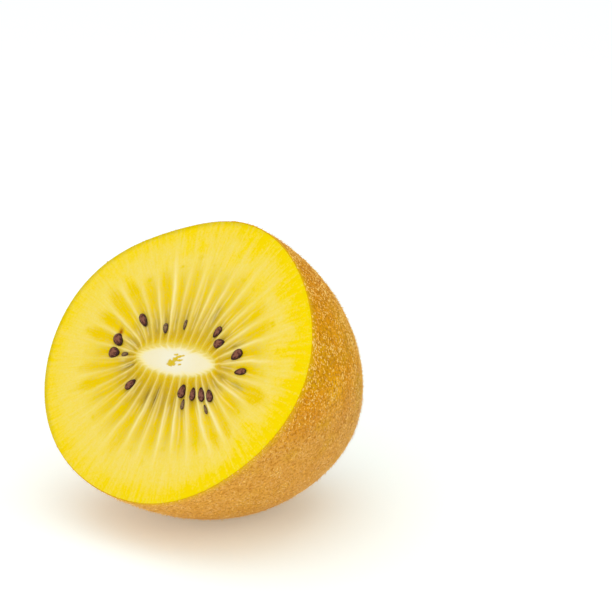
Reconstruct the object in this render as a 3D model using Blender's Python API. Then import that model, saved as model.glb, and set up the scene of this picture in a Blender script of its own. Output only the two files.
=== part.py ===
"""One half of a golden kiwi fruit, cut across its middle.

The half rests on its rounded side, on a small flat spot, with the cut face turned up and forward.
It is modelled with the cut face level in the XY plane and the fruit hanging below it, then leaned over
about X and set down, with the centre of the flat spot at the origin.
"""

import math
from collections import namedtuple

import bmesh
import bpy
from mathutils import Matrix, Vector

MM = 0.001
SMALL_STEP = 0.01

# The fruit's body
FACE_RADIUS = 27.0 * MM         # mean radius of the cut face
HALF_LENGTH = 37.8 * MM         # from the cut face to the end of the fruit
SHOULDER_POWER = 2.25           # above 2, the body is fuller than an ellipsoid along its length
GIRTH_POWER = 2.10              # and fuller across it
SECTION_LOBES = (               # the section's swell: times round it, share of the radius, degrees from +X
    (2, 0.0600, 17.4),
    (3, 0.0126, 62.4),
    (4, 0.0091, -6.0),
    (5, 0.0075, 5.8),
)

# How it lies
LEAN = math.radians(57.0)       # the cut face's tilt out of the level
REST_DEPTH = 0.45 * MM          # how much the weight has flattened the lowest point

# The core, an oval whose width sets the focal length of the elliptic grid that the rays follow
CORE_HALF_WIDTH = 8.8 * MM
CORE_HALF_HEIGHT = 2.7 * MM
CORE_TURN = math.radians(6.0)
CORE_RISE = 0.25 * MM
CORE_PIT_DEPTH = 0.55 * MM
CORE_RINGS = (                  # share of the core's edge and number of sides, inwards
    (0.74, 64),
    (0.46, 32),
    (0.20, 16),
)
CORE_PIT_RAGGED = (5.0, 0.25)   # how fast the pit's edge goes in and out, and by what share

# Rays and the seed pockets between them
RAYS = 32
FIRST_RAY = 6.5
RAY_SWAY = (3.5, 1.8, 1.7)      # how the spacing swings round the face once, twice and three times, degrees
WIDE_POCKET = (27.2, 3.5, 0.9)  # one ray that stands off: its number, by how many degrees, over how many rays
SAMPLES_PER_RAY = 4
FACE_ROWS = 12
POCKET_DEPTH = 0.55 * MM
POCKET_BREADTH = 0.7            # under 1, the pockets are broad and the rays between them thin
POCKET_START = 0.04             # share of the way from core to skin where the pockets begin
POCKET_FULL = 0.18              # where they are deepest
POCKET_FADE = 0.55              # where they start to run out
POCKET_END = 0.86               # where the outer flesh is flat again

# The scar at the hidden end
SCAR_RADIUS = 5.0 * MM
SCAR_DEPTH = 0.9 * MM
SCAR_RIM = 0.45 * MM
SCAR_RIM_PLACE = 0.85           # where the rim is highest, as a share of the scar's radius
SCAR_RIM_WIDTH = 0.22
SCAR_FLOOR = 0.15               # the pit's floor ends here
SCAR_BANK = 0.80                # and its bank ends here
SCAR_LUMPS = ((5, 0.45, 0.0), (8, 0.30, 1.0))  # the rim's lumps: times round it, share, turn
SCAR_RINGS = (                  # radius and number of sides, inwards
    (5.6 * MM, 64),
    (4.6 * MM, 32),
    (3.5 * MM, 32),
    (2.4 * MM, 16),
    (1.3 * MM, 16),
)

SKIN_ROWS = 13                  # rows of faces from the cut to the scar

# Seeds: where round the core, counted in rays, share of the way from core to skin, length and width, turn
# from the pocket's own line, and how far the middle lies under the cut
Seed = namedtuple("Seed", "place reach length width turn sunk")
SEEDS = (
    Seed(0.60, 0.44, 2.5, 1.7, 25.0, 0.10),
    Seed(2.45, 0.25, 2.3, 1.6, 147.0, 0.05),
    Seed(3.48, 0.32, 2.3, 1.3, 0.0, 0.10),
    Seed(7.35, 0.26, 1.9, 0.7, 0.0, 0.25),
    Seed(9.52, 0.23, 1.9, 1.1, 0.0, 0.25),
    Seed(11.65, 0.43, 2.9, 1.4, 4.0, 0.05),
    Seed(14.35, 0.50, 2.6, 1.9, -30.0, 0.05),
    Seed(15.50, 0.49, 2.3, 2.0, 0.0, 0.05),
    Seed(15.55, 0.33, 1.5, 0.8, 12.0, 0.25),
    Seed(19.50, 0.33, 2.5, 1.4, -8.0, 0.05),
    Seed(25.45, 0.20, 2.5, 1.6, -12.0, 0.05),
    Seed(25.65, 0.35, 1.9, 0.8, -10.0, 0.25),
    Seed(26.60, 0.26, 2.4, 1.2, -12.0, 0.05),
    Seed(27.55, 0.31, 2.7, 1.3, -7.0, 0.00),
    Seed(27.55, 0.49, 1.9, 0.6, 0.0, 0.25),
    Seed(28.52, 0.38, 2.4, 1.3, -12.0, 0.05),
    Seed(31.42, 0.52, 2.5, 1.2, 15.0, 0.10),
)
SEED_SIDES = 8
SEED_RINGS = 5
SEED_THICKNESS = 0.75           # of its width
SEED_TAPER = 0.38               # how much narrower the end that points at the core is

# Colours (linear), roughness
SKIN = ((0.50, 0.29, 0.07), 0.62)
FLESH = ((0.83, 0.62, 0.05), 0.34)
CORE = ((0.93, 0.89, 0.66), 0.45)
SEED = ((0.062, 0.028, 0.018), 0.30)
SKIN_SLOT, FLESH_SLOT, CORE_SLOT = range(3)


def material(name, finish):
    """A Principled material of one colour and roughness."""
    colour, roughness = finish
    made = bpy.data.materials.new(name)
    made.use_nodes = True
    shader = made.node_tree.nodes["Principled BSDF"]
    shader.inputs["Base Color"].default_value = (*colour, 1.0)
    shader.inputs["Roughness"].default_value = roughness
    shader.inputs["Metallic"].default_value = 0.0
    made.diffuse_color = (*colour, 1.0)
    return made


def smooth_step(value, start, end):
    """Rises smoothly from 0 at start to 1 at end."""
    share = min(max((value - start) / (end - start), 0.0), 1.0)
    return share * share * (3.0 - 2.0 * share)


def section_radius(angle):
    """The radius of the cut's outline in one direction."""
    swell = 0.0
    for times, share, turn in SECTION_LOBES:
        swell += share * math.cos(times * (angle - math.radians(turn)))
    return FACE_RADIUS * (1.0 + swell)


def focal_length():
    """Half the distance between the two points that the rays' hyperbolas run round."""
    return math.sqrt(CORE_HALF_WIDTH ** 2 - CORE_HALF_HEIGHT ** 2)


def face_point(spread, direction):
    """A point of the cut face on the elliptic grid: spread grows outwards, direction goes round."""
    focal = focal_length()
    x = focal * math.cosh(spread) * math.cos(direction)
    y = focal * math.sinh(spread) * math.sin(direction)
    return Matrix.Rotation(CORE_TURN, 2) @ Vector((x, y))


def spread_at_skin(direction):
    """How far out the elliptic grid meets the skin in one direction, found by halving."""
    near, far = 0.5, 3.0
    while far - near > 1e-7:
        middle = 0.5 * (near + far)
        point = face_point(middle, direction)
        inside = point.length < section_radius(math.atan2(point.y, point.x))
        near, far = (middle, far) if inside else (near, middle)
    return near


def core_spread():
    """The spread of the core's own edge."""
    return math.atanh(CORE_HALF_HEIGHT / CORE_HALF_WIDTH)


def ray_direction(count):
    """The direction of a ray, or of a place between two rays when count isn't whole."""
    even = math.radians(360.0 * count / RAYS)
    sway = sum(swing * math.sin(times * even) for times, swing in enumerate(RAY_SWAY, start=1))
    number, shift, reach = WIDE_POCKET
    sway += shift * math.exp(-((count % RAYS - number) / reach) ** 2)
    return even + math.radians(FIRST_RAY + sway)


def pocket_relief(count, reach):
    """How far the flesh lies under the cut: nothing on a ray, most in the middle of a pocket."""
    between = 0.5 - 0.5 * math.cos(2.0 * math.pi * count)
    along = smooth_step(reach, POCKET_START, POCKET_FULL) - smooth_step(reach, POCKET_FADE, POCKET_END)
    return -POCKET_DEPTH * between ** POCKET_BREADTH * max(along, 0.0)


def body_point(angle, radius_share):
    """A point of the skin: radius_share is 1 at the cut and 0 at the end of the fruit."""
    depth_share = (1.0 - radius_share ** GIRTH_POWER) ** (1.0 / SHOULDER_POWER)
    radius = radius_share * section_radius(angle)
    return Vector((radius * math.cos(angle), radius * math.sin(angle), -HALF_LENGTH * depth_share))


def scar_relief(angle, radius):
    """The lift of the skin along the axis round the scar: a sunken middle in a lumpy rim."""
    share = radius / SCAR_RADIUS
    lumps = 1.0 + sum(height * math.cos(times * angle + turn) for times, height, turn in SCAR_LUMPS)
    rim = SCAR_RIM * lumps * math.exp(-((share - SCAR_RIM_PLACE) / SCAR_RIM_WIDTH) ** 2)
    pit = SCAR_DEPTH * (1.0 - smooth_step(share, SCAR_FLOOR, SCAR_BANK))
    return pit - rim


def add_ring(bm, points):
    """One closed ring of vertices."""
    return [bm.verts.new(point) for point in points]


def join_rings(bm, outer, inner, slot):
    """Faces between two rings of equal count, or from a ring to one of half its count."""
    count = len(inner)
    step = len(outer) // count
    for i in range(count):
        j = (i + 1) % count
        first, last = outer[step * i], outer[step * j]
        if step == 2:
            middle = outer[step * i + 1]
            corners = ((first, middle, inner[i]), (middle, last, inner[j], inner[i]))
        else:
            corners = ((first, last, inner[j], inner[i]),)
        for face_corners in corners:
            face = bm.faces.new(face_corners)
            face.material_index = slot
            face.smooth = True


def close_ring(bm, ring, centre, slot):
    """A fan of triangles from a ring to its middle."""
    tip = bm.verts.new(centre)
    for i, vertex in enumerate(ring):
        face = bm.faces.new((vertex, ring[(i + 1) % len(ring)], tip))
        face.material_index = slot
        face.smooth = True


def add_core(bm, edge, directions):
    """The raised core inside its edge, with a small ragged pit in the middle."""
    outer = edge
    for share, sides in CORE_RINGS:
        is_pit = sides == CORE_RINGS[-1][1]
        turns, unevenness = CORE_PIT_RAGGED
        points = []
        for number, direction in enumerate(directions[::len(directions) // sides]):
            ragged = 1.0 + (unevenness * math.cos(turns * number) if is_pit else 0.0)
            flat = face_point(core_spread(), direction) * share * ragged
            points.append((flat.x, flat.y, -CORE_PIT_DEPTH if is_pit else CORE_RISE))
        inner = add_ring(bm, points)
        join_rings(bm, outer, inner, CORE_SLOT)
        outer = inner
    close_ring(bm, outer, (0.0, 0.0, -CORE_PIT_DEPTH), CORE_SLOT)


def add_cut_face(bm):
    """The flesh with its rays and pockets, round the core. Returns the ring of the cut's edge."""
    around = [step / SAMPLES_PER_RAY for step in range(RAYS * SAMPLES_PER_RAY)]
    directions = [ray_direction(count) for count in around]
    skin_spreads = [spread_at_skin(direction) for direction in directions]
    start = core_spread()
    rings = []
    for row in range(FACE_ROWS + 1):
        reach = 1.0 - row / FACE_ROWS
        points = []
        for count, direction, skin_spread in zip(around, directions, skin_spreads):
            flat = face_point(start + reach * (skin_spread - start), direction)
            points.append((flat.x, flat.y, pocket_relief(count, reach)))
        rings.append(add_ring(bm, points))
    for outer, inner in zip(rings, rings[1:]):
        join_rings(bm, outer, inner, FLESH_SLOT)

    add_core(bm, rings[-1], directions)
    return rings[0]


def add_skin(bm, edge):
    """The rounded outside, from the cut's edge down to the scar at the fruit's end."""
    angles = [math.atan2(vertex.co.y, vertex.co.x) for vertex in edge[::2]]
    scar_share = SCAR_RINGS[0][0] / FACE_RADIUS
    scar_turn = math.acos(scar_share ** (0.5 * GIRTH_POWER))
    outer = edge
    for row in range(1, SKIN_ROWS):
        share = math.cos(scar_turn * row / SKIN_ROWS) ** (2.0 / GIRTH_POWER)
        inner = add_ring(bm, [body_point(angle, share) for angle in angles])
        join_rings(bm, outer, inner, SKIN_SLOT)
        outer = inner
    for radius, sides in SCAR_RINGS:
        angles = angles[::len(angles) // sides]
        points = []
        for angle in angles:
            point = body_point(angle, radius / FACE_RADIUS)
            point.z += scar_relief(angle, radius)
            points.append(point)
        inner = add_ring(bm, points)
        join_rings(bm, outer, inner, SKIN_SLOT)
        outer = inner
    close_ring(bm, outer, (0.0, 0.0, SCAR_DEPTH - HALF_LENGTH), SKIN_SLOT)


def finish_mesh(bm, name, finishes):
    """Turns a closed bmesh into a named object with its materials."""
    bmesh.ops.recalc_face_normals(bm, faces=bm.faces)
    bmesh.ops.triangulate(bm, faces=bm.faces)
    mesh = bpy.data.meshes.new(name)
    bm.to_mesh(mesh)
    bm.free()
    for finish in finishes:
        mesh.materials.append(finish)
    made = bpy.data.objects.new(name, mesh)
    bpy.context.scene.collection.objects.link(made)
    return made


def make_seed(seed, number, finish):
    """A drop, its narrow end towards the core, lying in its pocket just under the cut."""
    length, width = seed.length * MM, seed.width * MM
    bm = bmesh.new()
    rings = []
    for ring in range(1, SEED_RINGS + 1):
        along = -math.cos(math.pi * ring / (SEED_RINGS + 1))
        girth = 0.5 * width * math.sqrt(1.0 - along * along) * (1.0 - SEED_TAPER * along)
        points = []
        for side in range(SEED_SIDES):
            turn = 2.0 * math.pi * side / SEED_SIDES
            across = girth * math.cos(turn)
            points.append((0.5 * length * along, across, SEED_THICKNESS * girth * math.sin(turn)))
        rings.append(add_ring(bm, points))
    for outer, inner in zip(rings, rings[1:]):
        join_rings(bm, outer, inner, 0)
    close_ring(bm, rings[0], (-0.5 * length, 0.0, 0.0), 0)
    close_ring(bm, rings[-1], (0.5 * length, 0.0, 0.0), 0)

    direction = ray_direction(seed.place)
    start = core_spread()
    spread = start + seed.reach * (spread_at_skin(direction) - start)
    middle = face_point(spread, direction)
    inward = face_point(spread - SMALL_STEP, direction) - middle
    heading = math.atan2(inward.y, inward.x) + math.radians(seed.turn)
    place = Matrix.Translation((middle.x, middle.y, -seed.sunk * MM))
    bmesh.ops.transform(bm, matrix=place @ Matrix.Rotation(heading, 4, "Z"), verts=bm.verts)
    return finish_mesh(bm, f"seed_{number:02d}", [finish])


def fuse_seeds(half, finish):
    """Joins every seed to the flesh with one Boolean union."""
    seeds = bpy.data.collections.new("seeds")
    bpy.context.scene.collection.children.link(seeds)
    for number, seed in enumerate(SEEDS, start=1):
        made = make_seed(seed, number, finish)
        bpy.context.scene.collection.objects.unlink(made)
        seeds.objects.link(made)
    union = half.modifiers.new("seeds", "BOOLEAN")
    union.operation = "UNION"
    union.operand_type = "COLLECTION"
    union.collection = seeds
    union.solver = "EXACT"
    union.material_mode = "TRANSFER"
    with bpy.context.temp_override(object=half, active_object=half, selected_objects=[half]):
        bpy.ops.object.modifier_apply(modifier=union.name)
    for made in list(seeds.objects):
        bpy.data.objects.remove(made, do_unlink=True)
    bpy.data.collections.remove(seeds)


def set_down(half):
    """Leans the fruit over, flattens its lowest point and puts the middle of that spot at the origin."""
    bm = bmesh.new()
    bm.from_mesh(half.data)
    bmesh.ops.transform(bm, matrix=Matrix.Rotation(LEAN, 4, "X"), verts=bm.verts)
    level = min(vertex.co.z for vertex in bm.verts) + REST_DEPTH
    everything = bm.verts[:] + bm.edges[:] + bm.faces[:]
    cut = bmesh.ops.bisect_plane(
        bm, geom=everything, plane_co=(0.0, 0.0, level), plane_no=(0.0, 0.0, 1.0), clear_inner=True
    )
    rim = [item for item in cut["geom_cut"] if isinstance(item, bmesh.types.BMEdge)]
    spot = bmesh.ops.contextual_create(bm, geom=rim)["faces"]
    middle = spot[0].calc_center_median_weighted()
    spot[0].material_index = SKIN_SLOT
    rim_vertices = list(spot[0].verts)
    bmesh.ops.translate(bm, vec=-middle, verts=bm.verts)
    for vertex in rim_vertices:
        vertex.co.z = 0.0
    bmesh.ops.recalc_face_normals(bm, faces=bm.faces)
    bmesh.ops.triangulate(bm, faces=bm.faces)
    bm.to_mesh(half.data)
    bm.free()
    half.data.set_sharp_from_angle(angle=math.radians(40.0))


def main():
    for found in list(bpy.data.objects):
        bpy.data.objects.remove(found, do_unlink=True)
    bm = bmesh.new()
    edge = add_cut_face(bm)
    add_skin(bm, edge)
    finishes = [material("skin", SKIN), material("flesh", FLESH), material("core", CORE)]
    half = finish_mesh(bm, "kiwi_half", finishes)
    fuse_seeds(half, material("seed", SEED))
    set_down(half)


main()
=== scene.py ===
"""Looks of half a golden kiwi fruit: flesh, core, seeds, peel, fuzz and scar, and a plain studio.

The half lies on its rounded side with the cut face turned up and forward. Every piece is worked out in the
fruit's own frame, in millimetres, with the cut face level in the XY plane and the fruit hanging below it.
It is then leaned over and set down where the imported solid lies.
"""

import logging
import math
from dataclasses import dataclass, field
from enum import Enum
from typing import Callable

import bpy
import numpy as np
from mathutils import Matrix, Vector, noise


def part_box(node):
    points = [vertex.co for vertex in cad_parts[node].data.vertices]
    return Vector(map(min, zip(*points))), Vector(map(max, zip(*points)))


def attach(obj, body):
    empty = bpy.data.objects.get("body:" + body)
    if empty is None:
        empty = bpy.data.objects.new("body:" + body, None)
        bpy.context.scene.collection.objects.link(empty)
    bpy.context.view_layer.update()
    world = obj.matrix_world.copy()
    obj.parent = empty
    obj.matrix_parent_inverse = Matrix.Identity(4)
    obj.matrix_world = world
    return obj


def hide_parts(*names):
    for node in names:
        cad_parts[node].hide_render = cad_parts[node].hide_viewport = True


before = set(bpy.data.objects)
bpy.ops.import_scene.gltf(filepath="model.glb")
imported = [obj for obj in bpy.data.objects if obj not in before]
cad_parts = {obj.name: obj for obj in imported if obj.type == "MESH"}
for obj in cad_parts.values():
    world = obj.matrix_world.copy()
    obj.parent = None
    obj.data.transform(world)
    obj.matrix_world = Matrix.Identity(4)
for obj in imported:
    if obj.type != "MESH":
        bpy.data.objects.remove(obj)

LOG = logging.getLogger("kiwi_half")

MM = 0.001
NODE = "kiwi_half"
BODY = "root"

# Edges sharper than this stay crisp, and points nearer than this, in metres, are one
CRISP_ANGLE = math.radians(50.0)
WELD = 1e-7

# The sockets of a colour mix: how much, the colour under, the colour over it and the result
MIX_SHARE, MIX_UNDER, MIX_OVER, MIX_RESULT = 0, 6, 7, 2

Array = np.ndarray
Level = float | Array
Masks = dict[str, Array]
Place = Callable[[Array, Array], tuple[Array, Masks]]
Inputs = dict[str | int, object] | tuple
Mesh = bpy.types.Mesh
Node = bpy.types.Node
Piece = bpy.types.Object
Socket = bpy.types.NodeSocket
Tree = bpy.types.NodeTree


class Slot(Enum):
    """The record's material slots."""

    SKIN = "skin"
    FLESH = "flesh"
    CORE = "core"
    SEED = "seed"


def smooth_step(value: Array, start: Level, end: Level) -> Array:
    """Rises smoothly from 0 at start to 1 at end."""
    share = np.clip((value - start) / (end - start), 0.0, 1.0)
    return share * share * (3.0 - 2.0 * share)


def band(value: Array, start: Level, full: Level, fade: Level, end: Level) -> Array:
    """Rises from 0 at start to 1 at full, and falls again from fade to end."""
    return smooth_step(value, start, full) * (1.0 - smooth_step(value, fade, end))


def bell(value: Array, width: Level) -> Array:
    """A bell curve, 1 where the value is 0 and a third at the width."""
    return np.exp(-((value / width) ** 2))


def turned(x: Array, y: Array, angle: float) -> tuple[Array, Array]:
    """Turns points of a plane about its origin, by an angle in radians."""
    cosine, sine = math.cos(angle), math.sin(angle)
    return x * cosine - y * sine, x * sine + y * cosine


def ripple(x: Array, y: Array, z: Level, seed: float = 0.0) -> Array:
    """Smooth noise from about -1 to 1 at each point.

    Args:
        x: First coordinates, in ripples.
        y: Second coordinates.
        z: Third coordinates, or one for all.
        seed: Moves the whole pattern.

    Returns:
        One value a point.
    """
    depth = np.broadcast_to(z, x.shape)
    points = zip(x.ravel() + seed, y.ravel() - seed, depth.ravel())
    values = np.fromiter((noise.noise(Vector(point)) for point in points), float, x.size)
    return values.reshape(x.shape)


def linear_colour(hex_colour: str) -> tuple[float, float, float, float]:
    """Turns an sRGB hex colour such as "#F7DC50" into linear RGBA.

    Args:
        hex_colour: The colour, with its mark.

    Returns:
        Red, green, blue and full cover.
    """
    channels = [int(hex_colour[place:place + 2], 16) / 255.0 for place in (1, 3, 5)]
    red, green, blue = (c / 12.92 if c <= 0.04045 else ((c + 0.055) / 1.055) ** 2.4 for c in channels)
    return red, green, blue, 1.0


def noise_scale(spot_mm: float) -> float:
    """The scale at which a noise texture's spots measure about so many millimetres."""
    return 0.5 / (spot_mm * MM)


def feed(node: Node, inputs: Inputs) -> None:
    """Sets or links a node's inputs.

    Args:
        node: The node.
        inputs: In order, or by name or number: a value, or the socket or node that feeds the input.
    """
    for key, value in inputs.items() if isinstance(inputs, dict) else enumerate(inputs):
        source = value.outputs[0] if isinstance(value, Node) else value
        if isinstance(source, Socket):
            node.id_data.links.new(source, node.inputs[key])
        else:
            node.inputs[key].default_value = source


def add_node(tree: Tree, kind: str, settings: dict | None = None, inputs: Inputs = ()) -> Node:
    """Adds one node with its settings and links.

    Args:
        tree: The node tree that it goes into.
        kind: The shader node's type, without its prefix.
        settings: The node's own properties. "stops" gives a colour ramp its (place, hex colour) pairs.
        inputs: What its inputs are set to or fed with.

    Returns:
        The new node.
    """
    node = tree.nodes.new("ShaderNode" + kind)
    for name, value in (settings or {}).items():
        if name == "stops":
            elements = node.color_ramp.elements
            while len(elements) < len(value):
                elements.new(0.5)
            for element, (place, colour) in zip(elements, value):
                element.position = place
                element.color = linear_colour(colour)
        else:
            setattr(node, name, value)
    feed(node, inputs)
    return node


def deselect_everything() -> None:
    """Leaves nothing selected, so that the next operator acts on its own piece alone."""
    bpy.ops.object.select_all(action="DESELECT")


def add_object(name: str, data: bpy.types.ID) -> Piece:
    """Puts a new object into the scene.

    Args:
        name: Its name.
        data: Its mesh, light or camera.

    Returns:
        The object, at the origin.
    """
    made = bpy.data.objects.new(name, data)
    bpy.context.scene.collection.objects.link(made)
    return made


def pick(piece: Piece) -> None:
    """Selects one piece alone and makes it the active one.

    Args:
        piece: The piece.
    """
    deselect_everything()
    piece.select_set(True)
    bpy.context.view_layer.objects.active = piece


def point_out(piece: Piece, weld: bool = False) -> None:
    """Turns a piece's faces outwards.

    Args:
        piece: The piece.
        weld: Whether points in the same place, at a seam or a pole, are merged first.
    """
    pick(piece)
    bpy.ops.object.mode_set(mode="EDIT")
    bpy.ops.mesh.select_all(action="SELECT")
    if weld:
        bpy.ops.mesh.remove_doubles(threshold=WELD)
    bpy.ops.mesh.normals_make_consistent(inside=False)
    bpy.ops.object.mode_set(mode="OBJECT")


def read_points(mesh: Mesh) -> Array:
    """The mesh's vertices as rows of x, y and z.

    Args:
        mesh: The mesh.

    Returns:
        One row a vertex.
    """
    flat = np.empty(len(mesh.vertices) * 3)
    mesh.vertices.foreach_get("co", flat)
    return flat.reshape(-1, 3)


def write_points(mesh: Mesh, points: Array) -> None:
    """Moves the mesh's vertices to the given rows of x, y and z."""
    mesh.vertices.foreach_set("co", np.ascontiguousarray(points, dtype=np.float32).ravel())
    mesh.update()


def write_masks(mesh: Mesh, masks: Masks) -> None:
    """Keeps each mask on the mesh as a number a vertex, for the materials to read.

    Args:
        mesh: The mesh.
        masks: The masks by name, one number a vertex.
    """
    for name, values in masks.items():
        attribute = mesh.attributes.new(name, "FLOAT", "POINT")
        attribute.data.foreach_set("value", np.ascontiguousarray(values, dtype=np.float32).ravel())


@dataclass(frozen=True)
class FruitForm:
    """The half's form in millimetres and degrees, the same as its solid's.

    Lobes and lumps are waves round the fruit: times round, size and turn. On the cut face a place is a count
    in rays round the core and a reach, its share of the way from core to skin, along an elliptic grid.
    """

    face_radius: float = 27.0
    half_length: float = 37.8
    shoulder_power: float = 2.25
    girth_power: float = 2.10
    lobes: tuple = ((2, 0.0600, 17.4), (3, 0.0126, 62.4), (4, 0.0091, -6.0), (5, 0.0075, 5.8))
    lean: float = 57.0
    core_half_width: float = 8.8
    core_half_height: float = 2.7
    core_turn: float = 6.0
    rays: int = 32
    first_ray: float = 6.5
    ray_sway: tuple = (3.5, 1.8, 1.7)
    wide_pocket: tuple = (27.2, 3.5, 0.9)
    pocket_breadth: float = 0.7
    pocket_reach: tuple = (0.04, 0.18, 0.55, 0.86)
    scar_radius: float = 5.0
    scar_depth: float = 0.9
    scar_rim: float = 0.45
    scar_lumps: tuple = ((5, 0.45, 0.0), (8, 0.30, 1.0))

    @property
    def focal(self) -> float:
        """Half the distance between the two points that the rays run round."""
        return math.sqrt(self.core_half_width ** 2 - self.core_half_height ** 2)

    @property
    def core_spread(self) -> float:
        """The spread of the core's edge on the elliptic grid."""
        return math.atanh(self.core_half_height / self.core_half_width)

    def section_radius(self, angle: Array) -> Array:
        """The radius of the cut's outline in each direction."""
        swell = sum(share * np.cos(times * (angle - math.radians(turn))) for times, share, turn in self.lobes)
        return self.face_radius * (1.0 + swell)

    def ray_direction(self, count: Array) -> Array:
        """The elliptic grid's direction at each count of rays, in radians.

        Args:
            count: Places round the core, counted in rays.

        Returns:
            The directions.
        """
        even = np.radians(360.0 * count / self.rays)
        sway = sum(swing * np.sin(times * even) for times, swing in enumerate(self.ray_sway, start=1))
        number, shift, width = self.wide_pocket
        sway = sway + shift * bell(count % self.rays - number, width)
        return even + np.radians(self.first_ray + sway)

    def face_point(self, spread: Array, direction: Array) -> tuple[Array, Array]:
        """The cut face's x and y at each spread and direction of the elliptic grid.

        Args:
            spread: How far out on the grid.
            direction: Directions of the grid, in radians.

        Returns:
            Both coordinates, in millimetres.
        """
        x = self.focal * np.cosh(spread) * np.cos(direction)
        y = self.focal * np.sinh(spread) * np.sin(direction)
        return turned(x, y, math.radians(self.core_turn))

    def spread_at_skin(self, direction: Array) -> Array:
        """Finds by halving how far out the elliptic grid meets the skin.

        Args:
            direction: Directions of the grid.

        Returns:
            The spread in each direction.
        """
        near, far = np.full_like(direction, 0.5), np.full_like(direction, 3.0)
        for _ in range(30):
            middle = 0.5 * (near + far)
            x, y = self.face_point(middle, direction)
            inside = np.hypot(x, y) < self.section_radius(np.arctan2(y, x))
            near, far = np.where(inside, middle, near), np.where(inside, far, middle)
        return near

    def place_on_face(self, count: Array, reach: Array) -> tuple[Array, Array]:
        """The cut face's x and y at each count and reach.

        Args:
            count: Places round the core, counted in rays.
            reach: Shares of the way from core to skin.

        Returns:
            Both coordinates, in millimetres.
        """
        direction = self.ray_direction(count)
        spread = self.core_spread + reach * (self.spread_at_skin(direction) - self.core_spread)
        return self.face_point(spread, direction)

    def along_ray(self, count: float, *reaches: float) -> tuple[Array, Array]:
        """The cut face's x and y at one count and several reaches."""
        return self.place_on_face(np.full(len(reaches), count), np.array(reaches))

    def pocket(self, count: Array, reach: Array) -> Array:
        """How deep in a seed pocket each place is, 0 to 1.

        Args:
            count: Places round the core, counted in rays.
            reach: Shares of the way from core to skin.

        Returns:
            The depths.
        """
        start, full, fade, end = self.pocket_reach
        between = 0.5 - 0.5 * np.cos(2.0 * math.pi * count)
        along = smooth_step(reach, start, full) - smooth_step(reach, fade, end)
        return between ** self.pocket_breadth * np.maximum(along, 0.0)

    def body_point(self, angle: Array, share: Array) -> Array:
        """The skin's points: the share is 1 at the cut and 0 at the fruit's end.

        Args:
            angle: Directions round the fruit's axis.
            share: How far out from the axis.

        Returns:
            Rows of x, y and z in millimetres.
        """
        depth = (1.0 - np.minimum(share, 1.0) ** self.girth_power) ** (1.0 / self.shoulder_power)
        radius = share * self.section_radius(angle)
        return np.stack((radius * np.cos(angle), radius * np.sin(angle), -self.half_length * depth), axis=-1)

    def scar_relief(self, angle: Array, radius: Array) -> Array:
        """The lift of the skin round the scar: a sunken middle in a lumpy rim.

        Args:
            angle: Directions round the fruit's axis.
            radius: Distances from it, in millimetres.

        Returns:
            How far each point moves inwards, in millimetres.
        """
        share = radius / self.scar_radius
        lumps = 1.0 + sum(height * np.cos(times * angle + turn) for times, height, turn in self.scar_lumps)
        rim = self.scar_rim * lumps * bell(share - 0.85, 0.22)
        return self.scar_depth * (1.0 - smooth_step(share, 0.15, 0.80)) - rim

    def core_distance(self, x: Array, y: Array) -> Array:
        """About how far each point of the face lies outside the core's edge, in millimetres.

        Args:
            x: Each point's place on the face, in millimetres.
            y: The same, across.

        Returns:
            The distances, under 0 inside the core.
        """
        along, across = turned(x, y, math.radians(-self.core_turn))
        along, across = along / self.core_half_width, across / self.core_half_height
        ratio = np.hypot(along, across) + 1e-9
        slope = np.hypot(along / self.core_half_width, across / self.core_half_height) / ratio
        return (ratio - 1.0) / np.maximum(slope, 1e-3)


FORM = FruitForm()


def find_lay() -> Matrix:
    """The matrix that takes the fruit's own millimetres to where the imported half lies.

    Returns:
        A scale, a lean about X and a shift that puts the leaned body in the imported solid's box.
    """
    angle, turn = np.meshgrid(np.linspace(0.0, 2.0 * math.pi, 721), np.linspace(0.0, 0.5 * math.pi, 181))
    share = np.abs(np.cos(turn)) ** (2.0 / FORM.girth_power)
    points = FORM.body_point(angle, share).reshape(-1, 3) * MM
    lean = Matrix.Rotation(math.radians(FORM.lean), 4, "X")
    leaned = points @ np.array(lean.to_3x3()).T
    low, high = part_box(NODE)
    middle = 0.5 * (leaned.min(axis=0) + leaned.max(axis=0))
    shift = Vector((
        0.5 * (low.x + high.x) - middle[0],
        0.5 * (low.y + high.y) - middle[1],
        high.z - leaned[:, 2].max(),
    ))
    return Matrix.Translation(shift) @ lean @ Matrix.Scale(MM, 4)


LAY = find_lay()


def lay_down(points: Array, floor: float = 0.0) -> Array:
    """Takes points in the fruit's own millimetres to where the half lies.

    Args:
        points: Rows of x, y and z.
        floor: The lowest height that a point may have, in millimetres over the ground.

    Returns:
        Rows of x, y and z in metres.
    """
    matrix = np.array(LAY)
    laid = points @ matrix[:3, :3].T + matrix[:3, 3]
    laid[:, 2] = np.maximum(laid[:, 2], floor * MM)
    return laid


def roll_up(name: str, columns: int, rows: int, place: Place) -> Piece:
    """Rolls a flat grid into a closed skin.

    Args:
        name: The piece's name.
        columns: Faces round it.
        rows: Faces from pole to pole.
        place: Gives the points and masks for each share round it and share along it.

    Returns:
        The piece, its seam and poles merged and its faces pointing out.
    """
    deselect_everything()
    bpy.ops.mesh.primitive_grid_add(x_subdivisions=columns, y_subdivisions=rows, size=1.0)
    piece = bpy.context.object
    piece.name = name
    flat = read_points(piece.data)
    around = np.rint((flat[:, 0] + 0.5) * columns) % columns / columns
    along = np.rint((flat[:, 1] + 0.5) * rows) / rows
    points, masks = place(around, along)
    write_points(piece.data, points)
    write_masks(piece.data, masks)
    point_out(piece, weld=True)
    bpy.ops.object.shade_smooth_by_angle(angle=CRISP_ANGLE)
    return piece


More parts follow.
